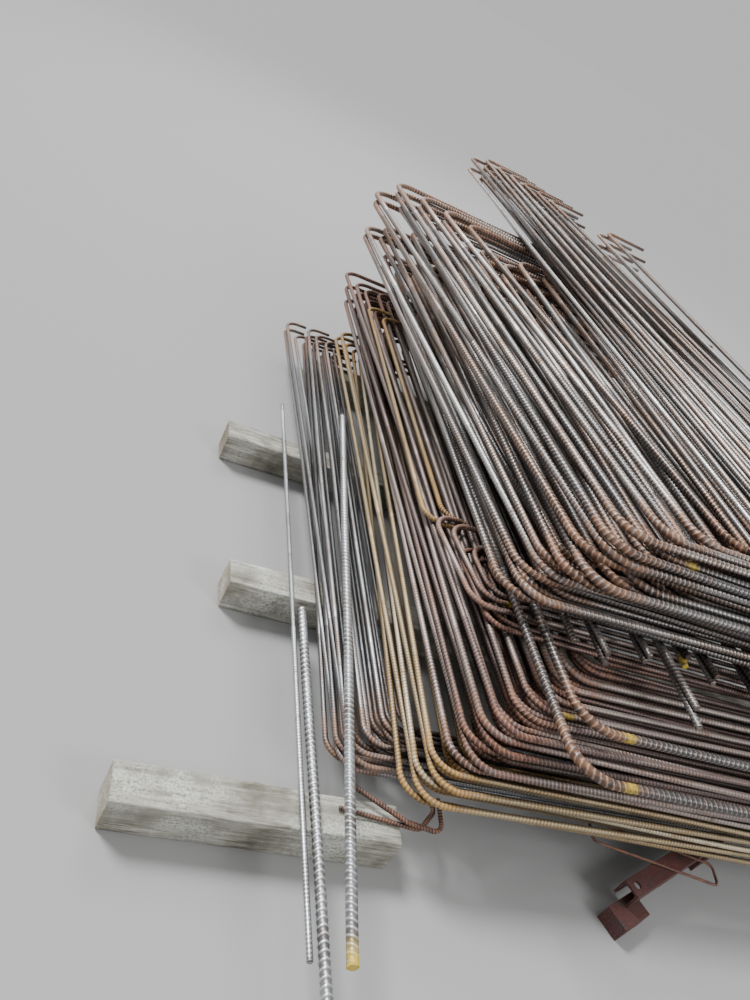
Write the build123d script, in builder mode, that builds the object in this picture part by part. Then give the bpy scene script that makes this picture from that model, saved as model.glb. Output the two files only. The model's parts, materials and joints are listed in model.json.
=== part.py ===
"""A stack of bent reinforcing bars lying on timber and steel supports, as it waits on a building site.

Millimetres, +Z up. +X runs along the front legs of the bars, +Y along their long legs, and the origin is on the
ground under the middle of the stack. Every bar is plain round stock bent in a horizontal plane.
"""

from build123d import *
import os
from dataclasses import dataclass

# Supports: sawn timbers, and at the front right a channel offcut on packing plates, all of one height
SUPPORT_HEIGHT = 100
TIMBER_WIDTH = 100
TIMBER_EDGE = 5
TIMBER_FRONTS = {"front": -92, "middle": 610, "rear": 1320, "far": 2040}
TIMBER_LEFT_ENDS = {"front": -640, "middle": -400, "rear": -410, "far": -60}
TIMBER_RIGHT_ENDS = {"front": 0, "middle": 1750, "rear": 1800, "far": 1700}
CHANNEL_WIDTH = 48
CHANNEL_DEPTH = 50
CHANNEL_WEB = 6
CHANNEL_FLANGE = 7
CHANNEL_ROOT_RADIUS = 7
CHANNEL_LENGTH = 480
CHANNEL_NEAR_END = (630, -115)
CHANNEL_HEADING = 27
CHANNEL_HOLE = 20
CHANNEL_HOLE_FROM_END = 27
PACKER_LENGTH = 110
PACKER_WIDTH = 64
PACKER_PLATES = 3
PACKER_CORNER = 2
PACKER_CENTRES = [(648, -141), (1020, 84)]

# How bars lie in the stack
CLEARANCE = 0.3
BEND_RATIO = 4
CORNER_SWAY = 11
LEG_SWAY = 0.015
FRONT_SWAY = 0.017
FRONT_FAN = 0.008
FAR_STAGGER = 0.7
UNEVENNESS = 5
CUT_UNEVENNESS = 55
GOLDEN_RATIO = 0.618034


@dataclass
class Bundle:
    """Levels of bars nested in one another, all of one diameter, with a corner at the front left."""

    name: str
    diameter: float
    levels: int
    bars: int
    corner: tuple
    climb: tuple
    spacing: tuple
    long_leg: float
    growth: float
    far_spacing: float
    front_leg: float
    rear_leg: float
    lean: float
    fan: float = 0.02
    wander: float = 0


# The lower bars, which lie on the supports
GREY = Bundle(
    name="grey", diameter=14, levels=5, bars=4, corner=(-160, 85), climb=(7, -4), spacing=(50, 34),
    long_leg=2190, growth=0, far_spacing=42, front_leg=1500, rear_leg=100, lean=0.012,
)
OCHRE = Bundle(
    name="ochre", diameter=16, levels=5, bars=4, corner=(-22, -42), climb=(13, 9), spacing=(48, 40),
    long_leg=2270, growth=-12, far_spacing=48, front_leg=1560, rear_leg=120, lean=0.037,
)
BROWN = Bundle(
    name="brown", diameter=18, levels=6, bars=8, corner=(70, 0), climb=(14, 12), spacing=(54, 46),
    long_leg=2460, growth=22, far_spacing=52, front_leg=1640, rear_leg=700, lean=-0.008, wander=10,
)

# Bars with a hook at either end, on the brown bars and beside the short-legged ones
HOOKED = Bundle(
    name="hooked", diameter=16, levels=1, bars=2, corner=(96, 760), climb=(0, 0), spacing=(72, 40),
    long_leg=1500, growth=0, far_spacing=60, front_leg=105, rear_leg=110, lean=-0.02,
)

# Bars between the brown bars and the straight ones
SHORT_LEG = Bundle(
    name="short_leg", diameter=16, levels=2, bars=4, corner=(205, 372), climb=(-60, 76), spacing=(34, 28),
    long_leg=330, growth=80, far_spacing=32, front_leg=1500, rear_leg=110, lean=-0.12,
)
OVERHANGING = Bundle(
    name="overhanging", diameter=25, levels=1, bars=2, corner=(285, -90), climb=(0, 0), spacing=(70, 150),
    long_leg=2500, growth=0, far_spacing=90, front_leg=1500, rear_leg=500, lean=-0.035,
)

# Straight bars that lie lengthwise in the middle of the stack
STRAIGHT_DIAMETER = 20
STRAIGHT_LEVELS = 2
STRAIGHT_BARS = 14
STRAIGHT_LEFT = 440
STRAIGHT_SPACING = 78
STRAIGHT_NEAR_END = 330
STRAIGHT_UNEVENNESS = 360
STRAIGHT_LENGTH = 2600
STRAIGHT_SWAY = 40

# The upper half of the stack
THICK_LOWER = Bundle(
    name="thick_lower", diameter=22, levels=5, bars=6, corner=(190, 385), climb=(22, 16), spacing=(84, 42),
    long_leg=2225, growth=40, far_spacing=60, front_leg=1600, rear_leg=1100, lean=-0.05, fan=0.04,
    wander=22,
)
THICK_UPPER = Bundle(
    name="thick_upper", diameter=25, levels=6, bars=6, corner=(300, 350), climb=(22, 20), spacing=(150, 40),
    long_leg=2350, growth=70, far_spacing=70, front_leg=1450, rear_leg=1000, lean=-0.07, fan=0.06,
    wander=38,
)
TOP = Bundle(
    name="top", diameter=20, levels=5, bars=7, corner=(930, 420), climb=(26, 12), spacing=(122, 42),
    long_leg=3650, growth=60, far_spacing=70, front_leg=900, rear_leg=300, lean=-0.05, fan=0.045,
    wander=30,
)

# The bundles in the order in which they are stacked, below and above the straight bars
LOWER_BUNDLES = [GREY, OCHRE, BROWN]
MIDDLE_BUNDLES = [SHORT_LEG, OVERHANGING]
UPPER_BUNDLES = [THICK_LOWER, THICK_UPPER, TOP]

# Loose straight bars at the left: diameter, near end and far end of each
LOOSE_THIN = {"diameter": 14, "near": (-245, -361), "far": (-208, 1638)}
LOOSE_THICK = {"diameter": 25, "near": (-226, -740), "far": (-203, 560)}
LOOSE_ON_GREY = {"diameter": 25, "near": (-200, -402), "far": (-5, 1560)}

# Small bent offcuts that lie on the front timber, one on the other: tips and corners of each
HOOK_DIAMETER = 12
HOOKED_OFFCUTS = [
    [(-150, -28), (46, -52), (112, 22), (38, 44)],
    [(-118, 26), (8, -46), (96, -62), (104, 30)],
]

# A narrow link that sticks out at the front, over the channel
LINK_DIAMETER = 8
LINK_LENGTH = 385
LINK_WIDTH = 62
LINK_CENTRE = (750, -8)
LINK_HEADING = -11
LINK_GAP = 4


def unevenness(serial):
    """A repeatable offset between -1 and 1 that differs from bar to bar."""
    return 2 * (serial * GOLDEN_RATIO % 1) - 1


def bent_bar(points, diameter, bend_ratio=BEND_RATIO):
    """One bar: a round section swept along straight legs and the bends between them."""
    with BuildPart() as bar:
        with BuildLine() as centre_line:
            FilletPolyline(*points, radius=bend_ratio * diameter)
        with BuildSketch(Plane(origin=centre_line.line @ 0, z_dir=centre_line.line % 0)):
            Circle(diameter / 2)
        sweep()
    return bar.part


def straight_bar(near, far, height, diameter):
    """One straight bar between two places on a level."""
    start = Vector(*near, height)
    run = Vector(*far, height) - start
    with BuildPart() as bar:
        with BuildSketch(Plane(origin=start, z_dir=run)):
            Circle(diameter / 2)
        extrude(amount=run.length)
    return bar.part


def nested_bar_points(bundle, level, place, height):
    """The tips and corners of one bar: rear tip, far corner, near corner, front tip.

    Levels sway by turns to either side, so that each bar crosses the bars that it lies on. Within a level the
    bars fan out a little: the fan shrinks slightly from bar to bar and now and then jumps wide open again.
    """
    side = 1 if level % 2 else -1
    serial = level * bundle.bars + place + 1
    offset = unevenness(serial)
    fan = unevenness(3 * serial)
    near_x = bundle.corner[0] + level * bundle.climb[0] + place * bundle.spacing[0]
    near_y = bundle.corner[1] + level * bundle.climb[1] + place * bundle.spacing[1]
    near_x += side * CORNER_SWAY + offset * UNEVENNESS
    near_y += -side * CORNER_SWAY + offset * UNEVENNESS + unevenness(level + 1) * bundle.wander
    far_y = bundle.corner[1] + bundle.long_leg + level * bundle.growth - place * bundle.far_spacing
    far_y += offset * UNEVENNESS - fan * FAR_STAGGER * bundle.far_spacing
    far_x = near_x + (bundle.lean - side * LEG_SWAY + fan * bundle.fan) * (far_y - near_y)
    front_x = near_x + bundle.front_leg + offset * CUT_UNEVENNESS
    front_y = near_y + (side * FRONT_SWAY + fan * FRONT_FAN) * bundle.front_leg
    rear_x = far_x + bundle.rear_leg + offset * min(CUT_UNEVENNESS, bundle.rear_leg / 10)
    return [(rear_x, far_y, height), (far_x, far_y, height), (near_x, near_y, height), (front_x, front_y, height)]


def timber(front, left_end, right_end):
    """A squared timber lying along X, its long edges worn round."""
    with BuildPart() as sleeper:
        with BuildSketch(Plane.YZ.offset(left_end)):
            with Locations((front + TIMBER_WIDTH / 2, SUPPORT_HEIGHT / 2)):
                RectangleRounded(TIMBER_WIDTH, SUPPORT_HEIGHT, TIMBER_EDGE)
        extrude(amount=right_end - left_end)
    return sleeper.part


def steel_channel():
    """A rolled channel offcut, web up, with a bolt hole near the end that sticks out."""
    run = Vector(1, 0, 0).rotate(Axis.Z, CHANNEL_HEADING)
    near_end = Plane(origin=(*CHANNEL_NEAR_END, SUPPORT_HEIGHT), x_dir=(0, 0, -1), z_dir=run)
    with BuildPart() as channel:
        with BuildSketch(near_end):
            Rectangle(CHANNEL_DEPTH, CHANNEL_WIDTH, align=(Align.MIN, Align.CENTER))
            with Locations((CHANNEL_WEB, 0)):
                Rectangle(
                    CHANNEL_DEPTH - CHANNEL_WEB, CHANNEL_WIDTH - 2 * CHANNEL_FLANGE,
                    align=(Align.MIN, Align.CENTER), mode=Mode.SUBTRACT,
                )
        extrude(amount=CHANNEL_LENGTH)
        roots = channel.edges().filter_by(Axis((0, 0, 0), run)).group_by(Axis.Z)[-2]
        fillet(roots, CHANNEL_ROOT_RADIUS)
        with Locations(near_end.offset(CHANNEL_HOLE_FROM_END).origin):
            Hole(CHANNEL_HOLE / 2, depth=CHANNEL_WEB)
    return channel.part


def packing_plates():
    """Steel plates on one another, one pile under each end of the channel."""
    pitch = (SUPPORT_HEIGHT - CHANNEL_DEPTH) / PACKER_PLATES
    plates = []
    for x, y in PACKER_CENTRES:
        for number in range(PACKER_PLATES):
            with BuildPart() as plate:
                with BuildSketch(Plane((x, y, number * pitch), Vector(1, 0, 0).rotate(Axis.Z, CHANNEL_HEADING))):
                    RectangleRounded(PACKER_LENGTH, PACKER_WIDTH, PACKER_CORNER)
                extrude(amount=pitch - CLEARANCE)
            plates.append(plate.part)
    return plates


def bar_link():
    """A rectangular link of thin bar, whose two ends all but meet at the middle of its back."""
    height = SUPPORT_HEIGHT + CLEARANCE + LINK_DIAMETER / 2
    along, across = LINK_LENGTH / 2, LINK_WIDTH / 2
    outline = [
        (LINK_GAP / 2, across), (along, across), (along, -across),
        (-along, -across), (-along, across), (-LINK_GAP / 2, across),
    ]
    lying = Plane((*LINK_CENTRE, height), Vector(1, 0, 0).rotate(Axis.Z, LINK_HEADING))
    return bent_bar([lying.from_local_coords((x, y, 0)) for x, y in outline], LINK_DIAMETER, bend_ratio=2)


def hooked_offcuts():
    """Short bent bars lying one on the other on the front timber."""
    hooks = []
    for number, points in enumerate(HOOKED_OFFCUTS):
        height = SUPPORT_HEIGHT + CLEARANCE + HOOK_DIAMETER / 2 + number * (HOOK_DIAMETER + CLEARANCE)
        hooks.append(bent_bar([(x, y, height) for x, y in points], HOOK_DIAMETER, bend_ratio=2))
    return hooks


def stack_bundle(pieces, bundle, surface):
    """Add a bundle's levels on top of a surface height and return the new one."""
    for level in range(bundle.levels):
        height = surface + CLEARANCE + bundle.diameter / 2
        bars = [
            bent_bar(nested_bar_points(bundle, level, place, height), bundle.diameter)
            for place in range(bundle.bars)
        ]
        pieces[f"{bundle.name}_bars_{level + 1}"] = bars
        surface = height + bundle.diameter / 2
    return surface


def stack_straight_bars(pieces, surface):
    """Add the levels of lengthwise straight bars and return the new surface height."""
    for level in range(STRAIGHT_LEVELS):
        side = 1 if level % 2 else -1
        height = surface + CLEARANCE + STRAIGHT_DIAMETER / 2
        bars = []
        for place in range(STRAIGHT_BARS):
            offset = unevenness(level * STRAIGHT_BARS + place + 1) ** 3
            near_x = STRAIGHT_LEFT + place * STRAIGHT_SPACING + side * STRAIGHT_SWAY
            near_y = STRAIGHT_NEAR_END + offset * STRAIGHT_UNEVENNESS
            far_x = near_x - 3 * side * STRAIGHT_SWAY
            bars.append(
                straight_bar((near_x, near_y), (far_x, near_y + STRAIGHT_LENGTH), height, STRAIGHT_DIAMETER)
            )
        pieces[f"straight_bars_{level + 1}"] = bars
        surface = height + STRAIGHT_DIAMETER / 2
    return surface


def loose_bar(size, surface):
    """A straight bar lying loose on a surface height."""
    height = surface + CLEARANCE + size["diameter"] / 2
    return straight_bar(size["near"], size["far"], height, size["diameter"])


pieces = {}
for name, front in TIMBER_FRONTS.items():
    pieces[f"{name}_timber"] = [timber(front, TIMBER_LEFT_ENDS[name], TIMBER_RIGHT_ENDS[name])]
pieces["steel_channel"] = [steel_channel()]
pieces["packing_plates"] = packing_plates()
pieces["bar_link"] = [bar_link()]
pieces["hooked_offcuts"] = hooked_offcuts()
pieces["loose_thin_bar"] = [loose_bar(LOOSE_THIN, SUPPORT_HEIGHT)]
pieces["loose_thick_bar"] = [loose_bar(LOOSE_THICK, SUPPORT_HEIGHT)]

top_of_stack = SUPPORT_HEIGHT
for bundle in LOWER_BUNDLES:
    top_of_stack = stack_bundle(pieces, bundle, top_of_stack)
    if bundle is GREY:
        pieces["loose_bar_on_grey"] = [loose_bar(LOOSE_ON_GREY, top_of_stack)]
stack_bundle(pieces, HOOKED, top_of_stack)
for bundle in MIDDLE_BUNDLES:
    top_of_stack = stack_bundle(pieces, bundle, top_of_stack)
top_of_stack = stack_straight_bars(pieces, top_of_stack)
for bundle in UPPER_BUNDLES:
    top_of_stack = stack_bundle(pieces, bundle, top_of_stack)

# The origin goes to the middle of the footprint
footprint = Compound([solid for solids in pieces.values() for solid in solids]).bounding_box(optimal=False)
to_origin = Location((-footprint.center().X, -footprint.center().Y, 0))

os.makedirs("parts", exist_ok=True)
for name, solids in pieces.items():
    piece = Compound([solid.moved(to_origin) for solid in solids])
    piece.label = name
    export_step(piece, f"parts/{name}.step")
print("stack", footprint.size, "pieces", sum(len(solids) for solids in pieces.values()))
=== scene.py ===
"""The looks of a stack of bent reinforcing bars: ribbed, rusted steel, weathered timber, painted supports.

Metres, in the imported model's own frame. Places are first given in the pile's plan, whose +X runs along
the bars' front legs and +Y along their long legs, and are then moved to the frame by the front timber's
corner.
"""

import json
import math
from typing import NamedTuple

import bpy
import numpy as np
from mathutils import Matrix, Vector, noise
from mathutils.bvhtree import BVHTree


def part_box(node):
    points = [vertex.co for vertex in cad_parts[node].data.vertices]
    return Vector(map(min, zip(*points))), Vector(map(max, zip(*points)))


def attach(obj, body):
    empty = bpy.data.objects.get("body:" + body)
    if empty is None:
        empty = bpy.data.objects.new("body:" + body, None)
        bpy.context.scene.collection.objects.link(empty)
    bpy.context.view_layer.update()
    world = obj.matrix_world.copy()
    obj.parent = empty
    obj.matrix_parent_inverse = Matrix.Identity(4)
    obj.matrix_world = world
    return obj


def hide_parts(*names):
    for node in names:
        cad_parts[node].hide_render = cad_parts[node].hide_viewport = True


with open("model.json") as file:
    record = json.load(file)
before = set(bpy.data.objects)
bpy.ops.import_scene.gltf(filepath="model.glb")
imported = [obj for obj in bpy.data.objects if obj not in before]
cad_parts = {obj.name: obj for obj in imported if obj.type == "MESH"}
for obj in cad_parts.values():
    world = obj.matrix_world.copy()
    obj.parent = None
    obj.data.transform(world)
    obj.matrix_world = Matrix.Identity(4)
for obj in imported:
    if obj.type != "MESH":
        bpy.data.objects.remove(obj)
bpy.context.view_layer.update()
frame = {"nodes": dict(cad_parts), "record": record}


class Bundle(NamedTuple):
    """Nested U bars in crossing levels. Pairs give X and Y: climb is per level, spacing per bar."""

    levels: int
    bars: int
    corner: tuple
    climb: tuple
    spacing: tuple
    long_leg: float
    far_spacing: float
    front_leg: float
    rear_leg: float
    lean: float
    growth: float = 0
    fan: float = 0.02
    wander: float = 0


# Plan of the stack, as in the model's source
TIMBER_LEFT = -0.640
TIMBER_FRONT = -0.092
BEND_RATIO = 4
TIGHT_BEND_RATIO = 2
CORNER_SWAY = 0.011
LEG_SWAY = 0.015
FRONT_SWAY = 0.017
FRONT_FAN = 0.008
FAR_STAGGER = 0.7
UNEVENNESS = 0.005
CUT_UNEVENNESS = 0.055
GOLDEN_RATIO = 0.618034
BUNDLES = {
    "grey": Bundle(
        levels=5, bars=4, corner=(-0.160, 0.085), climb=(0.007, -0.004), spacing=(0.050, 0.034),
        long_leg=2.190, far_spacing=0.042, front_leg=1.500, rear_leg=0.100, lean=0.012,
    ),
    "ochre": Bundle(
        levels=5, bars=4, corner=(-0.022, -0.042), climb=(0.013, 0.009), spacing=(0.048, 0.040),
        long_leg=2.270, far_spacing=0.048, front_leg=1.560, rear_leg=0.120, lean=0.037, growth=-0.012,
    ),
    "brown": Bundle(
        levels=6, bars=8, corner=(0.070, 0), climb=(0.014, 0.012), spacing=(0.054, 0.046),
        long_leg=2.460, far_spacing=0.052, front_leg=1.640, rear_leg=0.700, lean=-0.008, growth=0.022,
        wander=0.010,
    ),
    "hooked": Bundle(
        levels=1, bars=2, corner=(0.096, 0.760), climb=(0, 0), spacing=(0.072, 0.040),
        long_leg=1.500, far_spacing=0.060, front_leg=0.105, rear_leg=0.110, lean=-0.02,
    ),
    "short_leg": Bundle(
        levels=2, bars=4, corner=(0.205, 0.372), climb=(-0.060, 0.076), spacing=(0.034, 0.028),
        long_leg=0.330, far_spacing=0.032, front_leg=1.500, rear_leg=0.110, lean=-0.12, growth=0.080,
    ),
    "overhanging": Bundle(
        levels=1, bars=2, corner=(0.285, -0.090), climb=(0, 0), spacing=(0.070, 0.150),
        long_leg=2.500, far_spacing=0.090, front_leg=1.500, rear_leg=0.500, lean=-0.035,
    ),
    "thick_lower": Bundle(
        levels=5, bars=6, corner=(0.190, 0.385), climb=(0.022, 0.016), spacing=(0.084, 0.042),
        long_leg=2.225, far_spacing=0.060, front_leg=1.600, rear_leg=1.100, lean=-0.05, growth=0.040,
        fan=0.04, wander=0.022,
    ),
    "thick_upper": Bundle(
        levels=6, bars=6, corner=(0.300, 0.350), climb=(0.022, 0.020), spacing=(0.150, 0.040),
        long_leg=2.350, far_spacing=0.070, front_leg=1.450, rear_leg=1.000, lean=-0.07, growth=0.070,
        fan=0.06, wander=0.038,
    ),
    "top": Bundle(
        levels=5, bars=7, corner=(0.930, 0.420), climb=(0.026, 0.012), spacing=(0.122, 0.042),
        long_leg=3.650, far_spacing=0.070, front_leg=0.900, rear_leg=0.300, lean=-0.05, growth=0.060,
        fan=0.045, wander=0.030,
    ),
}
STRAIGHT_LEVELS = 2
STRAIGHT_BARS = 14
STRAIGHT_LEFT = 0.440
STRAIGHT_SPACING = 0.078
STRAIGHT_NEAR_END = 0.330
STRAIGHT_UNEVENNESS = 0.360
STRAIGHT_LENGTH = 2.600
STRAIGHT_SWAY = 0.040
LOOSE_BARS = {
    "loose_thin_bar": ((-0.245, -0.361), (-0.208, 1.638)),
    "loose_thick_bar": ((-0.226, -0.740), (-0.203, 0.560)),
    "loose_bar_on_grey": ((-0.200, -0.402), (-0.005, 1.560)),
}
OFFCUT_DIAMETER = 0.012
HOOKED_OFFCUTS = [
    [(-0.150, -0.028), (0.046, -0.052), (0.112, 0.022), (0.038, 0.044)],
    [(-0.118, 0.026), (0.008, -0.046), (0.096, -0.062), (0.104, 0.030)],
]
LINK_LENGTH = 0.385
LINK_WIDTH = 0.062
LINK_CENTRE = (0.750, -0.008)
LINK_HEADING = -11
LINK_GAP = 0.004
TIMBERS = ("front_timber", "middle_timber", "rear_timber", "far_timber")

# Legs bow a little to one side, fully when they are long, with a ripple along the bow
BOW = 0.004
FULL_BOW_LENGTH = 1.5
BOW_RIPPLE = 0.7
BOW_WAVE = 7

# Rolled ribs: pitch and skew are shares of the bar's diameter
RIB_PITCH = 0.62
RIB_SKEW = 0.16

# The bar's skin, as shares of its radius: between the ribs and on the two lengthwise ribs
CORE_SHARE = 0.87
SEAM_SHARE = 0.985

# Bevel of a cut end: its length, and how far it trims the skin, as a share
END_CHAMFER = 0.0015
END_TRIM = 0.86

# A rib's height at the lengthwise ribs, as a share of its full height, and the sine of their half width
LOW_RIB = 0.35
SEAM_SINE = 0.1

# Detail of a stretch of bar: unseen, seen from some side, seen by the camera, and seen by it close by
HIDDEN, SEEN, RIBBED, FINE = range(4)

# How near the camera, in bar diameters, ribs are modelled finely, and how near they are modelled at all
FINE_REACH = 118
RIBBED_REACH = 155

# Rings of vertices of one modelled rib: share of the pitch from its middle, and share of its height
RIB_PROFILES = {
    FINE: ((-0.22, 0.0), (-0.07, 1.0), (0.07, 1.0), (0.22, 0.0)),
    RIBBED: ((0.0, 1.0), (0.45, 0.0)),
}
FINE_SIDES = 12
PLAIN_SIDES = 8

# Rings where no ribs are modelled: height as a share of a rib's, number in a bend, distance on a leg
PLAIN_CREST = 0.5
BEND_RINGS = 9
LEG_RING_GAP = 0.25

# Rings closer than this share of the pitch are one ring
CLOSEST_RINGS = 0.02

# Sight tests: metres between them, and how far off the centre line they start, outward and sideways in radii
SIGHT_STEP = 0.10
SKIN_CLEARANCE = 1.25
SIDE_SPOTS = 0.6
OUTSIDE_VIEWS = [Vector(view).normalized() for view in (
    (-0.5, -0.6, 0.62), (0, -0.8, 0.6), (-0.8, 0.1, 0.6), (0.7, 0, 0.7), (0, 0.8, 0.6), (0, 0, 1),
)]

# How far rust spreads from a bend and from a cut end, and how far the painted shade in crevices reaches out
BEND_FADE = 0.05
CUT_FADE = 0.012
CREVICE_SHADE_REACH = 0.035

# Lightness and rust film of the loose bars, which are cleaner than the rest, and of the offcuts
LOOSE_TONE = 0.95
LOOSE_WARMTH = 0.12
OFFCUT_TONE = 0.4
OFFCUT_WARMTH = 0.5

# Marking paint: a smear just past some near bends, and some near ends, by node and number in the node
SMEAR_PLACE = 0.03
SMEAR_WIDTH = 0.022
SMEAR_STRENGTH = 0.8
SMEAR_FADE = 0.7
PAINTED_END = 0.045
PAINTED_END_STRENGTH = 1.3
SMEARED_BARS = {
    "overhanging_bars_1": (0, 1),
    "thick_upper_bars_6": (3,),
    "thick_upper_bars_5": (1,),
    "brown_bars_6": (2,),
    "short_leg_bars_2": (1,),
}
PAINTED_ENDS = {
    "straight_bars_1": (5, 9, 12),
    "straight_bars_2": (6, 9, 12),
    "loose_bar_on_grey": (0,),
}

# Timber meshes
TIMBER_EDGE = 0.005
TIMBER_STEP = 0.018
SIDE_STEPS = 28
CORNER_STEPS = 4
END_BEVEL = 0.002

# Wear of the timbers: chipped edges, raised grain and drying checks
EDGE_WEAR = 0.007
EDGE_WEAR_REACH = 0.006
EDGE_ALWAYS_WORN = 0.18
NICK_SHARE = 0.5
GRAIN_DEPTH = 0.0007
CHECKS_PER_SIDE = 3
CHECK_DEPTH = 0.004
CHECK_WIDTH = 0.0025
CHECK_SPREAD = 0.7
CHECK_WANDER = 0.006
CHECK_OPENNESS = 0.12

# How quickly the wear changes, per metre along a timber, and for the grain per metre across it
CHIP_RATE = 5
NICK_RATE = 34
GRAIN_RATE = 2.5
GRAIN_RATE_ACROSS = 260
CHECK_BEND_RATE = 3
CHECK_LENGTH_RATE = 1.7

# Camera: where it stands in the pile's plan, how high, and how it is turned
CAMERA_PLACE = (-0.9287, -1.0694, 1.55)
CAMERA_HEADING = 24.7
CAMERA_PITCH = 30
CAMERA_ROLL = 30.5
CAMERA_LENS = 30.24
CAMERA_SENSOR = 36

# Floor, sky and sun
FLOOR_REACH = 400
FLOOR_TONE = 0.36
SKY = 0.62
SUN_WIDTH = 18
SUN_WAY = Vector((-0.45, 0.50, 0.75)).normalized()

# Lamps, in the pile's plan, aimed at the middle of the stack
STACK_MIDDLE = (0.7, 0.9, 0.4)
LAMPS = {
    "behind": dict(place=(0.6, 6.2, 5.0), size=3.2, power=210),
    "before": dict(place=(3.4, -3.2, 4.2), size=2.6, power=150),
}

corner_low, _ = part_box("front_timber")
PILE = Vector((corner_low.x - TIMBER_LEFT, corner_low.y - TIMBER_FRONT, 0))
EYE = PILE + Vector(CAMERA_PLACE)


def unevenness(serial):
    """A repeatable offset between -1 and 1 that differs from bar to bar."""
    return 2 * (serial * GOLDEN_RATIO % 1) - 1


def nested_bar_plan(bundle, level, place):
    """Plan of one nested bar: rear tip, far corner, near corner, front tip."""
    side = 1 if level % 2 else -1
    serial = level * bundle.bars + place + 1
    offset = unevenness(serial)
    fan = unevenness(3 * serial)
    near_x = bundle.corner[0] + level * bundle.climb[0] + place * bundle.spacing[0]
    near_y = bundle.corner[1] + level * bundle.climb[1] + place * bundle.spacing[1]
    near_x += side * CORNER_SWAY + offset * UNEVENNESS
    near_y += -side * CORNER_SWAY + offset * UNEVENNESS + unevenness(level + 1) * bundle.wander
    far_y = bundle.corner[1] + bundle.long_leg + level * bundle.growth - place * bundle.far_spacing
    far_y += offset * UNEVENNESS - fan * FAR_STAGGER * bundle.far_spacing
    far_x = near_x + (bundle.lean - side * LEG_SWAY + fan * bundle.fan) * (far_y - near_y)
    front_x = near_x + bundle.front_leg + offset * CUT_UNEVENNESS
    front_y = near_y + (side * FRONT_SWAY + fan * FRONT_FAN) * bundle.front_leg
    rear_x = far_x + bundle.rear_leg + offset * min(CUT_UNEVENNESS, bundle.rear_leg / 10)
    return [(rear_x, far_y), (far_x, far_y), (near_x, near_y), (front_x, front_y)]


def straight_bar_plan(level, place):
    """Plan of one lengthwise bar in the middle of the stack."""
    side = 1 if level % 2 else -1
    offset = unevenness(level * STRAIGHT_BARS + place + 1) ** 3
    near_x = STRAIGHT_LEFT + place * STRAIGHT_SPACING + side * STRAIGHT_SWAY
    near_y = STRAIGHT_NEAR_END + offset * STRAIGHT_UNEVENNESS
    return [(near_x, near_y), (near_x - 3 * side * STRAIGHT_SWAY, near_y + STRAIGHT_LENGTH)]


def link_plan():
    """Plan of the narrow link, from one of its ends round to the other."""
    along, across, gap = LINK_LENGTH / 2, LINK_WIDTH / 2, LINK_GAP / 2
    right = [(gap, across), (along, across), (along, -across)]
    left = [(-along, -across), (-along, across), (-gap, across)]
    turn = Matrix.Rotation(math.radians(LINK_HEADING), 2)
    return [tuple(turn @ Vector(point) + Vector(LINK_CENTRE)) for point in right + left]


class Leg(NamedTuple):
    """A straight stretch of a bar: from where to where along the bar, its start and its direction."""

    begin: float
    end: float
    start: Vector
    way: Vector


class Bend(NamedTuple):
    """A round stretch: from where to where along the bar, and its arc. The hand is 1 for a left turn."""

    begin: float
    end: float
    centre: Vector
    spoke: Vector
    hand: float
    radius: float


def turned(vector, angle):
    """X and Y of a plan vector turned by each of many angles."""
    cos, sin = np.cos(angle), np.sin(angle)
    return vector.x * cos - vector.y * sin, vector.x * sin + vector.y * cos


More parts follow.
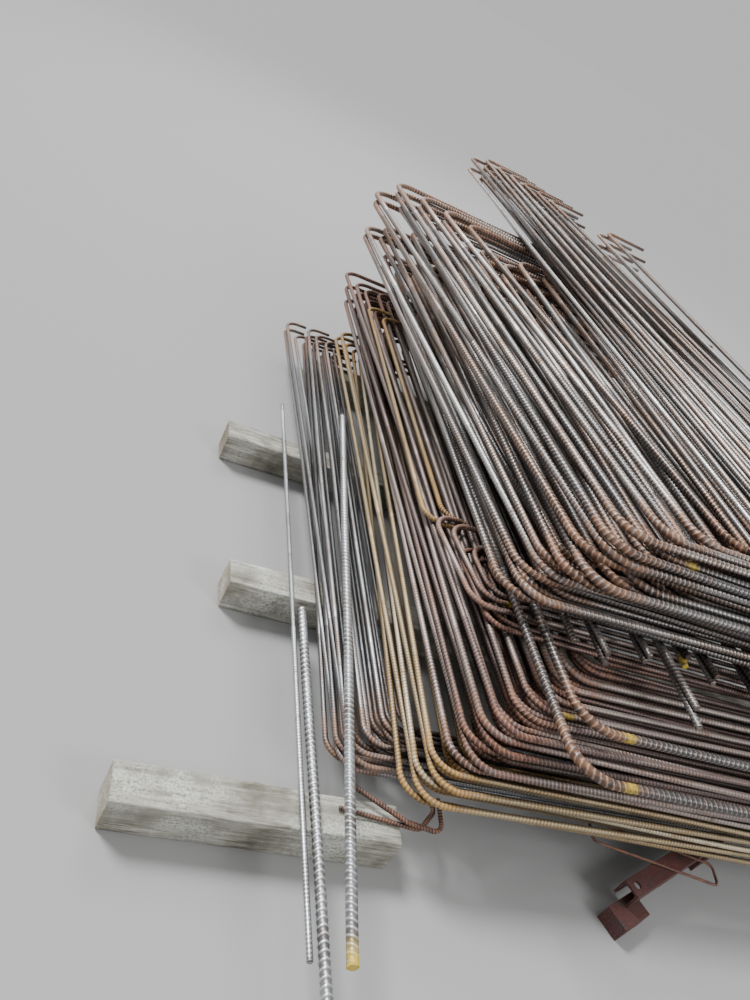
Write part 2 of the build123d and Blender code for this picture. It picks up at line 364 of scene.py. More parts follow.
class Path:
    """A bar's centre line in the level plane: straight legs joined by round bends."""

    def __init__(self, plan, height, radius, serial):
        points = [PILE.xy + Vector(point) for point in plan]
        self.height = height
        self.serial = serial
        self.legs = []
        self.bends = []
        start, travelled = points[0], 0.0
        for before, corner, after in zip(points, points[1:], points[2:]):
            way_in = (corner - before).normalized()
            way_out = (after - corner).normalized()
            turn = -way_in.angle_signed(way_out)
            hand = math.copysign(1, turn)
            cut = radius * math.tan(abs(turn) / 2)
            leg_end = corner - way_in * cut
            travelled = self.add_leg(start, leg_end, travelled)
            bend_end = travelled + radius * abs(turn)
            side = Vector((-way_in.y, way_in.x)) * hand
            self.bends.append(Bend(travelled, bend_end, leg_end + side * radius, -side, hand, radius))
            start, travelled = corner + way_out * cut, bend_end
        self.length = self.add_leg(start, points[-1], travelled)

    def add_leg(self, start, end, travelled):
        """Add a straight leg and tell how far along the bar it ends."""
        length = (end - start).length
        self.legs.append(Leg(travelled, travelled + length, start, (end - start).normalized()))
        return travelled + length

    def bow_offset(self, number, share):
        """How far a leg stands off its straight line at shares of its length."""
        leg = self.legs[number]
        bow = BOW * unevenness(self.serial * 3 + number) * min(1, (leg.end - leg.begin) / FULL_BOW_LENGTH)
        return bow * np.sin(math.pi * share) ** 2 * (1 + BOW_RIPPLE * np.sin(BOW_WAVE * share + self.serial))

    def at(self, s):
        """Places and directions at distances s along the bar."""
        place = np.zeros((len(s), 3))
        run = np.zeros((len(s), 3))
        place[:, 2] = self.height
        slack = 1e-9
        for number, (begin, end, start, way) in enumerate(self.legs):
            on_leg = (s >= begin - slack) & (s <= end + slack)
            t = s[on_leg] - begin
            offset = self.bow_offset(number, t / (end - begin))
            place[on_leg, 0] = start.x + way.x * t - way.y * offset
            place[on_leg, 1] = start.y + way.y * t + way.x * offset
            run[on_leg, 0] = way.x
            run[on_leg, 1] = way.y
        for begin, end, centre, spoke, hand, radius in self.bends:
            on_bend = (s > begin) & (s < end)
            angle = (s[on_bend] - begin) / radius * hand
            spoke_x, spoke_y = turned(spoke, angle)
            place[on_bend, 0] = centre.x + radius * spoke_x
            place[on_bend, 1] = centre.y + radius * spoke_y
            run[on_bend, 0], run[on_bend, 1] = turned(Vector((-spoke.y, spoke.x)) * hand, angle)
        return place, run

    def bend_closeness(self, s):
        """1 in a bend, fading to 0 along the legs beside it."""
        near = np.zeros(len(s))
        for bend in self.bends:
            away = np.maximum(0, np.maximum(bend.begin - s, s - bend.end))
            near = np.maximum(near, np.exp(-away / BEND_FADE))
        return near


def stack_shape():
    """All solids merged into one tree for sight tests."""
    vertices, faces = [], []
    for node in frame["nodes"].values():
        base = len(vertices)
        vertices.extend(v.co.copy() for v in node.data.vertices)
        faces.extend([base + i for i in polygon.vertices] for polygon in node.data.polygons)
    return BVHTree.FromPolygons(vertices, faces)


SHAPE = stack_shape()


def in_sight(place, direction, radius):
    """Whether a point on the bar's skin can be seen from far away in that direction."""
    skin = place + direction * (radius * SKIN_CLEARANCE)
    return SHAPE.ray_cast(skin, direction)[0] is None


def detail_at(place, run, radius):
    """How much detail a bar gets at one place."""
    to_eye = EYE - place
    across = Vector((-run[1], run[0], 0)) * radius * SIDE_SPOTS
    if any(in_sight(spot, to_eye.normalized(), radius) for spot in (place, place + across, place - across)):
        distance = to_eye.length / (2 * radius)
        return FINE if distance < FINE_REACH else RIBBED if distance < RIBBED_REACH else SEEN
    if any(in_sight(place, view, radius) for view in OUTSIDE_VIEWS):
        return SEEN
    return HIDDEN


def rib_details(path, radius, middles):
    """The detail of each rib of a bar, which is the finest one of the sight tests nearby."""
    steps = np.linspace(0, path.length, max(2, round(path.length / SIGHT_STEP) + 1))
    places, runs = path.at(steps)
    detail = np.array([detail_at(Vector(place), run, radius) for place, run in zip(places, runs)])
    widest = np.maximum.reduce([detail, np.roll(detail, 1), np.roll(detail, -1)])
    return widest[np.clip(np.round(middles / SIGHT_STEP).astype(int), 0, len(widest) - 1)]


def plain_rings(places, details, pitch):
    """Rings at those of the places where no ribs are modelled."""
    ribs = np.clip((places / pitch).astype(int), 0, len(details) - 1)
    return [(s, PLAIN_CREST, 0.0) for s in places[details[ribs] < RIBBED]]


def ring_places(path, radius, pitch):
    """Rings of vertices as rows of place, crest and 1 where ribs are modelled, and the finest detail."""
    middles = (np.arange(int(path.length / pitch)) + 0.5) * pitch
    details = rib_details(path, radius, middles)
    rings = [(s, 0.0, 0.0) for s in (0.0, END_CHAMFER, path.length - END_CHAMFER, path.length)]
    for middle, detail in zip(middles, details):
        rings += [(middle + share * pitch, crest, 1.0) for share, crest in RIB_PROFILES.get(detail, ())]
    for bend in path.bends:
        rings += plain_rings(np.linspace(bend.begin, bend.end, BEND_RINGS), details, pitch)
    for leg in path.legs:
        count = max(2, int((leg.end - leg.begin) / LEG_RING_GAP))
        rings += plain_rings(np.linspace(leg.begin, leg.end, count)[1:-1], details, pitch)
    table = np.array(sorted(rings))
    at_end = (table[:, 0] <= END_CHAMFER) | (table[:, 0] >= path.length - END_CHAMFER)
    apart = np.concatenate([[True], np.diff(table[:, 0]) > pitch * CLOSEST_RINGS])
    return table[at_end | apart], details.max()


def tube_faces(rings, sides):
    """Side faces of a tube, ring by ring, and its two end caps, all facing outward."""
    first = (np.arange(rings - 1) * sides)[:, None]
    here, after = np.arange(sides), (np.arange(sides) + 1) % sides
    corners = [first + here, first + after, first + sides + after, first + sides + here]
    caps = [np.arange(sides)[::-1], (rings - 1) * sides + np.arange(sides)]
    return np.stack(corners, 2).reshape(-1, 4), caps


def tube_uvs(lengths, sides):
    """For the corners of each side face: turn round the tube from 0 to 1, and length along it."""
    here, after = np.arange(sides) / sides, (np.arange(sides) + 1) / sides
    turns = np.tile(np.stack([here, after, after, here], 1), (len(lengths) - 1, 1))
    low, high = np.repeat(lengths[:-1], sides), np.repeat(lengths[1:], sides)
    return np.stack([turns, np.stack([low, low, high, high], 1)], 2).reshape(-1, 2)


def skin_reach(crest, angle):
    """How far out the vertices of each ring stand, as shares of the bar's radius."""
    rib_edge = np.abs(np.sin(angle))
    rib = (1 - CORE_SHARE) * crest[:, None] * (LOW_RIB + (1 - LOW_RIB) * rib_edge[None, :])
    seam = np.where(rib_edge < SEAM_SINE, SEAM_SHARE, 0)
    reach = np.maximum(CORE_SHARE + rib, seam[None, :])
    reach[[0, -1]] *= END_TRIM
    return reach.ravel()


class BarMesh(NamedTuple):
    """One bar: vertices, side faces, end caps, values per vertex, and UVs of the side faces' corners."""

    vertices: np.ndarray
    quads: np.ndarray
    caps: list
    values: dict
    uvs: np.ndarray


def bar_mesh(path, diameter, tone, warmth, paint):
    """One ribbed bar as a tube of rings, each with the bar's own roll, and ribs at a slant."""
    radius, pitch = diameter / 2, RIB_PITCH * diameter
    rings, finest = ring_places(path, radius, pitch)
    s, crest, ribbed = rings.T
    sides = FINE_SIDES if finest == FINE else PLAIN_SIDES
    angle = np.arange(sides) * 2 * math.pi / sides
    slant = RIB_SKEW * diameter * np.cos(angle)
    along = np.clip(s[:, None] + ribbed[:, None] * slant[None, :], 0, path.length)
    along[0], along[-1] = 0, path.length
    along = along.ravel()
    place, run = path.at(along)
    across = np.stack([-run[:, 1], run[:, 0], np.zeros(len(run))], 1)
    turn = np.tile(angle + math.pi * unevenness(path.serial), len(s))
    out = across * np.cos(turn)[:, None] + np.array([0, 0, 1.0]) * np.sin(turn)[:, None]
    vertices = place + out * (radius * skin_reach(crest, angle))[:, None]
    values = {
        "tone": np.full(len(vertices), tone),
        "warmth": np.full(len(vertices), warmth),
        "bend": path.bend_closeness(along),
        "crest": np.repeat(crest, sides),
        "ribbed": np.repeat(ribbed, sides),
        "paint": paint(path, along) if paint else np.zeros(len(vertices)),
        "cut": np.exp(-np.minimum(along, path.length - along) / CUT_FADE),
    }
    quads, caps = tube_faces(len(s), sides)
    return BarMesh(vertices, quads, caps, values, tube_uvs(s / pitch, sides))


def add_object(name, data):
    """A new object in the scene."""
    thing = bpy.data.objects.new(name, data)
    bpy.context.scene.collection.objects.link(thing)
    return thing


def bars_object(name, bars, material):
    """One mesh with all bars of a node. Each bar is given as (path, diameter, tone, warmth, paint)."""
    parts = [bar_mesh(*bar) for bar in bars]
    bases = np.cumsum([0] + [len(part.vertices) for part in parts[:-1]])
    vertices = np.concatenate([part.vertices for part in parts])
    quads = np.concatenate([part.quads + base for part, base in zip(parts, bases)])
    caps = [cap + base for part, base in zip(parts, bases) for cap in part.caps]
    corners = np.concatenate([quads.ravel()] + caps)
    cap_starts = 4 * len(quads) + np.cumsum([0] + [len(cap) for cap in caps[:-1]])
    starts = np.concatenate([np.arange(len(quads)) * 4, cap_starts])

    mesh = bpy.data.meshes.new(name)
    mesh.vertices.add(len(vertices))
    mesh.vertices.foreach_set("co", vertices.astype(np.float32).ravel())
    mesh.loops.add(len(corners))
    mesh.loops.foreach_set("vertex_index", corners.astype(np.int32))
    mesh.polygons.add(len(starts))
    mesh.polygons.foreach_set("loop_start", starts.astype(np.int32))
    mesh.polygons.foreach_set("use_smooth", np.arange(len(starts)) < len(quads))
    mesh.update(calc_edges=True)

    uvs = np.zeros((len(corners), 2), np.float32)
    uvs[: 4 * len(quads)] = np.concatenate([part.uvs for part in parts])
    mesh.uv_layers.new(name="turn_and_length").data.foreach_set("uv", uvs.ravel())
    for key in parts[0].values:
        attribute = mesh.attributes.new(key, "FLOAT", "POINT")
        values = np.concatenate([part.values[key] for part in parts])
        attribute.data.foreach_set("value", values.astype(np.float32))
    mesh.materials.append(material)
    mesh.validate()
    return add_object(name, mesh)


class Nodes:
    """A material's node tree with short ways to add and join nodes."""

    def __init__(self, name):
        self.material = bpy.data.materials.new(name)
        self.material.use_nodes = True
        self.tree = self.material.node_tree
        self.shader = self.tree.nodes["Principled BSDF"]

    def add(self, kind, inputs=None, **settings):
        """A new node with its settings made and its inputs fed."""
        node = self.tree.nodes.new(kind)
        for key, value in settings.items():
            setattr(node, key, value)
        for key, value in (inputs or {}).items():
            self.plug(value, node.inputs[key])
        return node

    def plug(self, value, socket):
        """Feed an input with another node's output, a number or a colour."""
        if isinstance(value, bpy.types.NodeSocket):
            self.tree.links.new(value, socket)
        elif socket.type == "RGBA":
            socket.default_value = (*value, 1)
        else:
            socket.default_value = value

    def shade(self, name, value):
        """Feed one of the shader's inputs."""
        self.plug(value, self.shader.inputs[name])

    def value(self, name):
        """A value that the mesh holds for each vertex."""
        return self.add("ShaderNodeAttribute", attribute_name=name).outputs["Fac"]

    def math(self, operation, a, b=0.0, clamp=False):
        """One step of arithmetic."""
        return self.add("ShaderNodeMath", {0: a, 1: b}, operation=operation, use_clamp=clamp).outputs[0]

    def times(self, a, b, clamp=False):
        """One value times another."""
        return self.math("MULTIPLY", a, b, clamp)

    def noise(self, scale, detail, roughness, vector=None):
        """Cloudy noise over the object's own places, or over a given vector."""
        if vector is None:
            vector = self.add("ShaderNodeTexCoord").outputs["Object"]
        inputs = {"Vector": vector, "Scale": scale, "Detail": detail, "Roughness": roughness}
        return self.add("ShaderNodeTexNoise", inputs).outputs["Fac"]

    def spread(self, value, low, high):
        """Maps low to 0 and high to 1, held between them."""
        inputs = {"Value": value, "From Min": low, "From Max": high}
        return self.add("ShaderNodeMapRange", inputs).outputs["Result"]

    def ramp(self, value, stops):
        """A colour for each value, from stops of (value, colour)."""
        node = self.add("ShaderNodeValToRGB", {"Fac": value})
        elements = node.color_ramp.elements
        elements[0].position, elements[0].color = stops[0][0], (*stops[0][1], 1)
        elements[1].position, elements[1].color = stops[-1][0], (*stops[-1][1], 1)
        for position, colour in stops[1:-1]:
            elements.new(position).color = (*colour, 1)
        return node.outputs["Color"]

    def mix(self, share, a, b):
        """Colour a turned into colour b by a share. Sockets 0, 6 and 7 are the share and the two colours."""
        node = self.add("ShaderNodeMix", {0: share}, data_type="RGBA")
        self.plug(a, node.inputs[6])
        self.plug(b, node.inputs[7])
        return node.outputs[2]

    def layered(self, base, layers):
        """A base colour under layers, each given as (where it lies, how thickly, colour)."""
        for cover, strength, colour in layers:
            base = self.mix(self.times(cover, strength), base, colour)
        return base

    def bumps(self, layers):
        """Feed the shader's normal with bumps over one another, each given as (height, strength, depth)."""
        inputs = {}
        for height, strength, depth in layers:
            inputs.update({"Height": height, "Strength": strength, "Distance": depth})
            inputs["Normal"] = self.add("ShaderNodeBump", inputs).outputs["Normal"]
        self.shade("Normal", inputs["Normal"])


# Drawn ribs: slant as a share of the pitch, and between which values of a sine wave a rib rises
DRAWN_SKEW = 0.26
DRAWN_RIB = (-0.2, 0.75)

# Colours that lie over others: on the steel, on the timber and on the primer
CUT_RUST = (0.13, 0.060, 0.032)
MARKING_PAINT = (0.62, 0.44, 0.02)
WOOD_BAND = (0.24, 0.23, 0.19)
WOOD_STAIN = (0.070, 0.062, 0.042)
CEMENT_DUST = (0.68, 0.70, 0.65)
CHIPPED_STEEL = (0.030, 0.024, 0.024)
PRIMER_DUST = (0.26, 0.20, 0.17)

# Colours that follow a noise, as stops of (value, colour)
WOOD = [(0.30, (0.070, 0.060, 0.048)), (0.48, (0.31, 0.30, 0.25)), (0.68, (0.60, 0.60, 0.54))]
GROWTH_RINGS = [(0.2, (0.16, 0.125, 0.085)), (0.8, (0.42, 0.37, 0.28))]
PRIMER = [(0.3, (0.050, 0.013, 0.012)), (0.7, (0.105, 0.032, 0.027))]
ORANGE_RUST = [(0.3, (0.15, 0.052, 0.024)), (0.5, (0.34, 0.140, 0.060)), (0.7, (0.56, 0.31, 0.150))]
YELLOW_RUST = [(0.3, (0.28, 0.110, 0.018)), (0.5, (0.50, 0.245, 0.040)), (0.7, (0.68, 0.42, 0.10))]
PURPLE_RUST = [(0.3, (0.11, 0.034, 0.022)), (0.5, (0.27, 0.098, 0.052)), (0.7, (0.50, 0.26, 0.13))]
# Each steel's darkest colour is both grime and the painted shade of rib valleys and crevices
STEELS = {
    "grey_steel": dict(
        name="grey_bar_steel",
        tones=[(0.15, (0.10, 0.105, 0.115)), (0.5, (0.27, 0.28, 0.295)), (0.85, (0.68, 0.705, 0.73))],
        dirt_and_shade=(0.022, 0.020, 0.019), film=(0.22, 0.15, 0.11), rust=ORANGE_RUST, rust_amount=0.35,
        metallic=0.70, roughness=0.32,
    ),
    "ochre_rust": dict(
        name="ochre_bar_steel",
        tones=[(0.15, (0.22, 0.155, 0.080)), (0.5, (0.46, 0.365, 0.21)), (0.85, (0.78, 0.71, 0.55))],
        dirt_and_shade=(0.036, 0.022, 0.012), film=(0.40, 0.22, 0.065), rust=YELLOW_RUST, rust_amount=0.50,
        metallic=0.40, roughness=0.44,
    ),
    "brown_rust": dict(
        name="brown_bar_steel",
        tones=[(0.15, (0.085, 0.056, 0.052)), (0.5, (0.19, 0.133, 0.122)), (0.85, (0.59, 0.52, 0.48))],
        dirt_and_shade=(0.018, 0.011, 0.010), film=(0.24, 0.105, 0.060), rust=PURPLE_RUST, rust_amount=0.6,
        metallic=0.50, roughness=0.42,
    ),
    "dark_steel": dict(
        name="dark_bar_steel",
        tones=[(0.15, (0.080, 0.079, 0.082)), (0.5, (0.25, 0.243, 0.24)), (0.85, (0.74, 0.73, 0.72))],
        dirt_and_shade=(0.020, 0.016, 0.015), film=(0.36, 0.18, 0.085), rust=ORANGE_RUST, rust_amount=0.62,
        metallic=0.68, roughness=0.31,
    ),
}


def rib_pattern(nodes):
    """Ribs from 0 in a valley to 1 on a crest: all of them, and those that are drawn and not modelled."""
    uv = nodes.add("ShaderNodeUVMap", uv_map="turn_and_length").outputs["UV"]
    split = nodes.add("ShaderNodeSeparateXYZ", {"Vector": uv})
    ribbed, crest = nodes.value("ribbed"), nodes.value("crest")
    turn = nodes.times(split.outputs["X"], 2 * math.pi)
    slant = nodes.times(nodes.math("COSINE", turn), DRAWN_SKEW)
    phase = nodes.times(nodes.math("ADD", split.outputs["Y"], slant), 2 * math.pi)
    wave = nodes.spread(nodes.math("SINE", phase), *DRAWN_RIB)
    drawn = nodes.times(wave, nodes.math("SUBTRACT", 1.0, ribbed))
    return nodes.math("ADD", nodes.times(crest, ribbed), drawn, clamp=True), drawn


def rust_cover(nodes, patches, streaks, amount):
    """Where the rust lies: thick at the bends, and in blotches elsewhere."""
    at_bends = nodes.times(nodes.spread(nodes.value("bend"), 0.05, 0.6), nodes.spread(streaks, 0.28, 0.56))
    blotches = nodes.times(nodes.spread(nodes.times(patches, streaks), 0.27, 0.40), amount)
    return nodes.math("MAXIMUM", at_bends, blotches)


def bar_steel(name, tones, dirt_and_shade, film, rust, rust_amount, metallic, roughness):
    """Ribbed bar steel: worn crests with a painted highlight, grime and painted shade in valleys, painted
    shade in crevices, rust as film, blotches and at bends.
    """
    nodes = Nodes(name)
    ridge, drawn = rib_pattern(nodes)
    patches = nodes.noise(scale=7.0, detail=4.0, roughness=0.6)
    streaks = nodes.noise(scale=48.0, detail=5.0, roughness=0.65)
    grain = nodes.noise(scale=380.0, detail=3.0, roughness=0.6)

    tone = nodes.math("ADD", nodes.times(nodes.value("tone"), 0.60), nodes.times(patches, 0.40))
    filmed = nodes.times(nodes.value("warmth"), nodes.spread(patches, 0.30, 0.62))
    rusty = rust_cover(nodes, patches, streaks, rust_amount)
    # Crests lighter: partly wear, partly a painted highlight that makes the ribs stand out
    worn = nodes.times(ridge, nodes.spread(grain, 0.40, 0.62))
    # Valleys darker: partly grime, partly painted shade between the ribs
    valley = nodes.times(nodes.math("SUBTRACT", 1.0, ridge), nodes.spread(patches, 0.2, 0.8))
    # Painted shade: ambient occlusion darkens the steel where other bars close in
    crevice_shade = nodes.add("ShaderNodeAmbientOcclusion", {"Distance": CREVICE_SHADE_REACH}, samples=4).outputs["AO"]
    paint = nodes.times(nodes.value("paint"), nodes.spread(streaks, 0.34, 0.50), clamp=True)
    nodes.shade("Base Color", nodes.layered(nodes.ramp(tone, tones), [
        (filmed, 0.75, film),
        (rusty, 0.85, nodes.ramp(streaks, rust)),
        (nodes.value("cut"), 0.6, CUT_RUST),
        # Painted highlight with wear: crests toward the lightest tone
        (worn, 0.30, tones[-1][1]),
        # Grime and painted shade in the rib valleys
        (valley, 1.0, dirt_and_shade),
        # Painted shade in crevices
        (nodes.spread(crevice_shade, 0.90, 0.42), 0.96, dirt_and_shade),
        (nodes.spread(streaks, 0.58, 0.72), 0.55, dirt_and_shade),
        (paint, 0.9, MARKING_PAINT),
    ]))

    dull = nodes.math("MAXIMUM", nodes.times(rusty, 0.7), paint)
    shine = nodes.add("ShaderNodeMapRange", {"Value": dull, "To Min": metallic, "To Max": 0.0})
    nodes.shade("Metallic", shine.outputs["Result"])
    rough = nodes.math("ADD", nodes.times(grain, 0.25), roughness - 0.1, clamp=True)
    nodes.shade("Roughness", nodes.math("ADD", rough, nodes.times(rusty, 0.18), clamp=True))
    nodes.bumps([(grain, 0.5, 0.0006), (streaks, 0.4, 0.0012), (drawn, 1.0, 0.0018)])
    return nodes.material


def end_grain(nodes, place):
    """Growth rings round the timber's length, as a sawn end shows them."""
    flat = {"Vector": place, "Scale": (0, 1, 1), "Location": (0, 0.4, 0.03)}
    squashed = nodes.add("ShaderNodeMapping", flat).outputs["Vector"]
    rings = {"Vector": squashed, "Scale": 42.0, "Distortion": 2.2, "Detail": 2.0}
    growth = nodes.add("ShaderNodeTexWave", rings, wave_type="RINGS", rings_direction="X").outputs["Fac"]
    return nodes.ramp(growth, GROWTH_RINGS)


def on_end(nodes):
    """1 on the timber's ends and 0 on its long sides."""
    normal = nodes.add("ShaderNodeNewGeometry").outputs["True Normal"]
    along = nodes.add("ShaderNodeSeparateXYZ", {"Vector": normal}).outputs["X"]
    return nodes.spread(nodes.math("ABSOLUTE", along), 0.6, 0.8)


def weathered_timber():
    """Old sawn wood, grey with age, with grain along X, brown stains and a skin of cement dust."""
    nodes = Nodes("weathered_timber")
    place = nodes.add("ShaderNodeTexCoord").outputs["Object"]
    stretched = nodes.add("ShaderNodeMapping", {"Vector": place, "Scale": (1.2, 14, 14)}).outputs["Vector"]
    fibres = nodes.noise(scale=9.0, detail=6.0, roughness=0.7, vector=stretched)
    bands = nodes.noise(scale=2.2, detail=3.0, roughness=0.6, vector=stretched)
    stains = nodes.noise(scale=5.0, detail=5.0, roughness=0.65)
    speckle = nodes.noise(scale=160.0, detail=2.0, roughness=0.5)
    dust = nodes.times(nodes.spread(stains, 0.50, 0.36), nodes.spread(speckle, 0.35, 0.62))
    nodes.shade("Base Color", nodes.layered(nodes.ramp(fibres, WOOD), [
        (nodes.spread(bands, 0.40, 0.62), 1.0, WOOD_BAND),
        (on_end(nodes), 1.0, end_grain(nodes, place)),
        (nodes.spread(stains, 0.50, 0.66), 0.75, WOOD_STAIN),
        (dust, 0.75, CEMENT_DUST),
    ]))
    nodes.shade("Roughness", 0.88)
    nodes.bumps([(fibres, 0.8, 0.003), (speckle, 0.4, 0.001)])
    return nodes.material


def red_oxide():
    """Dull red-oxide primer, dusty and chipped to dark steel."""
    nodes = Nodes("red_oxide_primer")
    chips = nodes.noise(scale=38.0, detail=5.0, roughness=0.7)
    fading = nodes.noise(scale=7.0, detail=4.0, roughness=0.6)
    grain = nodes.noise(scale=300.0, detail=2.0, roughness=0.5)
    nodes.shade("Base Color", nodes.layered(nodes.ramp(fading, PRIMER), [
        (nodes.spread(chips, 0.56, 0.64), 1.0, CHIPPED_STEEL),
        (nodes.spread(grain, 0.48, 0.75), 0.30, PRIMER_DUST),
    ]))
    nodes.shade("Roughness", 0.62)
    nodes.bumps([(chips, 0.5, 0.0015)])
    return nodes.material


MATERIALS = {slot: bar_steel(**look) for slot, look in STEELS.items()}
MATERIALS["timber"] = weathered_timber()
MATERIALS["red_oxide_paint"] = red_oxide()


def tone_of(serial):
    """How light a bar is, from 0 to 1."""
    return 0.5 + 0.5 * unevenness(serial * 5 + 2)


def warmth_of(serial):
    """How far a film of rust covers a bar, from 0 to 1. Most bars have little."""
    return (0.5 + 0.5 * unevenness(serial * 8 + 3)) ** 2


def paint_past_bend(path, s):
    """A smear of yellow marking paint just past the near bend."""
    middle = path.bends[-1].end + SMEAR_PLACE
    return np.clip(SMEAR_STRENGTH - SMEAR_FADE * np.abs(s - middle) / SMEAR_WIDTH, 0, 1)


def paint_at_start(path, s):
    """Yellow marking paint on the near end."""
    return np.clip(PAINTED_END_STRENGTH - s / PAINTED_END, 0, 1)


def paint_of(node, number):
    """How one bar of a node is painted, or None."""
    if number in SMEARED_BARS.get(node, ()):
        return paint_past_bend
    if number in PAINTED_ENDS.get(node, ()):
        return paint_at_start
    return None


def slot_of(node):
    """The material slot that the record gives a node."""
    return next(part["material_slot"] for part in frame["record"]["subparts"] if part["node"] == node)


def level_of(node):
    """Height of a node's centre and its bar diameter, read from its box."""
    low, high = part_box(node)
    return (low.z + high.z) / 2, high.z - low.z


def dress_bars(node, plans, serial, bend_ratio=BEND_RATIO):
    """Replace a node by ribbed bars on the same centre lines, and tell how many there are."""
    height, diameter = level_of(node)
    bars = []
    for number, plan in enumerate(plans):
        path = Path(plan, height, bend_ratio * diameter, serial + number)
        tone, warmth = tone_of(serial + number), warmth_of(serial + number)
        if node in LOOSE_BARS:
            tone, warmth = LOOSE_TONE, LOOSE_WARMTH
        bars.append((path, diameter, tone, warmth, paint_of(node, number)))
    slot = slot_of(node)
    piece = bars_object(node + "_ribbed", bars, MATERIALS[slot])
    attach(piece, "root")
    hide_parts(node)
    return len(plans)


def dress_offcuts(serial):
    """Replace the offcuts' node. The two lie one on the other, so each has a level of its own."""
    low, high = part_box("hooked_offcuts")
    heights = (low.z + OFFCUT_DIAMETER / 2, high.z - OFFCUT_DIAMETER / 2)
    bars = []
    for number, (plan, height) in enumerate(zip(HOOKED_OFFCUTS, heights)):
        path = Path(plan, height, TIGHT_BEND_RATIO * OFFCUT_DIAMETER, serial + number)
        bars.append((path, OFFCUT_DIAMETER, OFFCUT_TONE, OFFCUT_WARMTH, None))
    piece = bars_object("hooked_offcuts_ribbed", bars, MATERIALS["brown_rust"])
    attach(piece, "root")
    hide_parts("hooked_offcuts")


def dress_all_bars():
    """Dress every node of bars. Serial numbers run on from bar to bar and give each its own unevenness."""
    serial = 1
    for name, bundle in BUNDLES.items():
        for level in range(bundle.levels):
            plans = [nested_bar_plan(bundle, level, place) for place in range(bundle.bars)]
            serial += dress_bars(f"{name}_bars_{level + 1}", plans, serial)
    for level in range(STRAIGHT_LEVELS):
        plans = [straight_bar_plan(level, place) for place in range(STRAIGHT_BARS)]
        serial += dress_bars(f"straight_bars_{level + 1}", plans, serial)
    for node, plan in LOOSE_BARS.items():
        serial += dress_bars(node, [plan], serial)
    dress_bars("bar_link", [link_plan()], serial, bend_ratio=TIGHT_BEND_RATIO)
    dress_offcuts(serial)


def timber_outline(half):
    """Points round a squared section: place, way out, distance along the side from its middle, side."""
    flat = half - TIMBER_EDGE
    outline = []
    for side in range(4):
        turn = Matrix.Rotation(math.pi / 2 * side, 2)
        for step in range(SIDE_STEPS):
            along = flat * (2 * step / (SIDE_STEPS - 1) - 1)
            outline.append((turn @ Vector((half, along)), turn @ Vector((1, 0)), along, side))
        for step in range(1, CORNER_STEPS):
            angle = math.pi / 2 * step / CORNER_STEPS
            out = Vector((math.cos(angle), math.sin(angle)))
            outline.append((turn @ (Vector((flat, flat)) + out * TIMBER_EDGE), turn @ out, flat, side))
    return outline


def noise_at(x, y, z):
    """Smooth noise between about -1 and 1."""
    return noise.noise(Vector((x, y, z)))


def edge_wear(x, along, side, half, seed):
    """Chips and nicks near a timber's long edges, which differ from edge to edge."""
    edge = side + math.copysign(0.4, along)
    chips = noise_at(x * CHIP_RATE, edge, seed)
    nicks = noise_at(x * NICK_RATE, edge, seed + 7)
    worn = max(0, EDGE_ALWAYS_WORN + chips + NICK_SHARE * nicks)
    return EDGE_WEAR * worn * math.exp(-(half - abs(along)) / EDGE_WEAR_REACH)


def check_wear(x, along, half, serial):
    """One drying check: a narrow crack along the grain that opens and closes."""
    line = CHECK_SPREAD * half * unevenness(serial + 1)
    line += CHECK_WANDER * noise_at(x * CHECK_BEND_RATE, serial, 0)
    open_share = max(0, noise_at(x * CHECK_LENGTH_RATE, serial, 9) + CHECK_OPENNESS)
    return CHECK_DEPTH * min(1, 3 * open_share) * math.exp(-(((along - line) / CHECK_WIDTH) ** 2))


def timber_wear(x, along, side, half, seed):
    """How far a timber's skin has worn back at one place: worn edges, raised grain and drying checks."""
    wear = edge_wear(x, along, side, half, seed)
    grain = noise_at(x * GRAIN_RATE, along * GRAIN_RATE_ACROSS, seed + side * 5)
    wear += GRAIN_DEPTH * (0.5 + 0.5 * grain)
    for check in range(CHECKS_PER_SIDE):
        wear += check_wear(x, along, half, seed * 4 * CHECKS_PER_SIDE + side * CHECKS_PER_SIDE + check)
    return wear


def worn_timber(node, seed):
    """Replace a timber by a mesh with worn edges, raised grain and drying checks, inside the plain one."""
    low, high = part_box(node)
    half = (high.y - low.y) / 2
    middle = (low + high) / 2
    outline = timber_outline(half)
    length = high.x - low.x
    count = round(length / TIMBER_STEP)
    inner = [low.x + END_BEVEL + (length - 2 * END_BEVEL) * step / count for step in range(count + 1)]
    stations = [low.x] + inner + [high.x]
    vertices = []
    for number, x in enumerate(stations):
        bevel = END_BEVEL if number in (0, len(stations) - 1) else 0
        for place, out, along, side in outline:
            spot = place - out * (timber_wear(x, along, side, half, seed) + bevel)
            vertices.append((x, middle.y + spot.x, middle.z + spot.y))
    quads, caps = tube_faces(len(stations), len(outline))
    faces = [cap.tolist() for cap in caps] + quads.tolist()
    mesh = bpy.data.meshes.new(node + "_worn")
    mesh.from_pydata(vertices, [], faces)
    mesh.polygons.foreach_set("use_smooth", [False] * len(caps) + [True] * len(quads))
    mesh.materials.append(MATERIALS["timber"])
    piece = add_object(node + "_worn", mesh)
    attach(piece, "root")
    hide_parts(node)


def paint_supports():
    """Coat the channel and the packing plates with primer."""
    for node in ("steel_channel", "packing_plates"):
        coat = frame["nodes"][node].data.materials
        coat.clear()
        coat.append(MATERIALS["red_oxide_paint"])


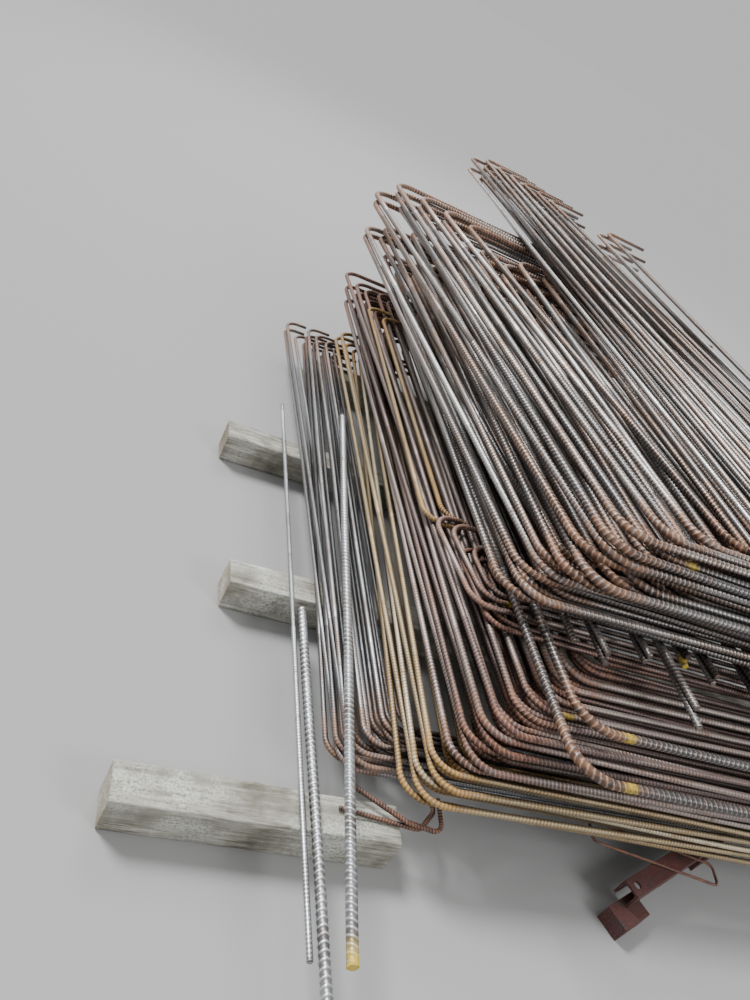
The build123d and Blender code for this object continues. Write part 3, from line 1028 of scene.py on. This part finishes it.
def plain_floor():
    """A pale floor as far as the eye reaches."""
    corners = [(x * FLOOR_REACH, y * FLOOR_REACH, 0) for x, y in ((-1, -1), (1, -1), (1, 1), (-1, 1))]
    mesh = bpy.data.meshes.new("floor")
    mesh.from_pydata(corners, [], [(0, 1, 2, 3)])
    floor = add_object("floor", mesh)
    nodes = Nodes("pale_floor")
    nodes.shade("Base Color", (FLOOR_TONE, FLOOR_TONE, FLOOR_TONE))
    nodes.shade("Roughness", 0.95)
    nodes.shade("Specular IOR Level", 0.1)
    mesh.materials.append(nodes.material)


def soft_light(name, place, size, power):
    """A large area light aimed at the middle of the stack."""
    data = bpy.data.lights.new(name, "AREA")
    data.shape = "DISK"
    data.size = size
    data.energy = power
    light = add_object(name, data)
    light.location = PILE + Vector(place)
    aim = PILE + Vector(STACK_MIDDLE) - light.location
    light.rotation_euler = aim.to_track_quat("-Z", "Y").to_euler()


def studio():
    """A sun and sky that light the floor as bright as the sky itself, and broad lamps round the stack."""
    world = bpy.data.worlds.new("studio")
    world.use_nodes = True
    background = world.node_tree.nodes["Background"]
    background.inputs["Color"].default_value = (1, 1, 1, 1)
    background.inputs["Strength"].default_value = SKY
    bpy.context.scene.world = world
    data = bpy.data.lights.new("sun", "SUN")
    data.angle = math.radians(SUN_WIDTH)
    data.energy = math.pi * SKY * (1 / FLOOR_TONE - 1) / SUN_WAY.z
    sun = add_object("sun", data)
    sun.rotation_euler = SUN_WAY.to_track_quat("Z", "Y").to_euler()
    for name, lamp in LAMPS.items():
        soft_light(name, **lamp)


def camera():
    """The camera, held high, looking down and rolled to one side."""
    heading, pitch, roll = (math.radians(a) for a in (CAMERA_HEADING, CAMERA_PITCH, CAMERA_ROLL))
    level_way = Vector((math.sin(heading), math.cos(heading), 0))
    right = Vector((math.cos(heading), -math.sin(heading), 0))
    look = level_way * math.cos(pitch) - Vector((0, 0, math.sin(pitch)))
    up = level_way * math.sin(pitch) + Vector((0, 0, math.cos(pitch)))
    image_right = right * math.cos(roll) + up * math.sin(roll)
    image_up = up * math.cos(roll) - right * math.sin(roll)
    data = bpy.data.cameras.new("camera")
    data.lens = CAMERA_LENS
    data.sensor_width = CAMERA_SENSOR
    eye = add_object("camera", data)
    turn = Matrix((image_right, image_up, -look)).transposed().to_4x4()
    eye.matrix_world = Matrix.Translation(EYE) @ turn
    bpy.context.scene.camera = eye


dress_all_bars()
for seed, node in enumerate(TIMBERS):
    worn_timber(node, seed)
paint_supports()
plain_floor()
studio()
camera()
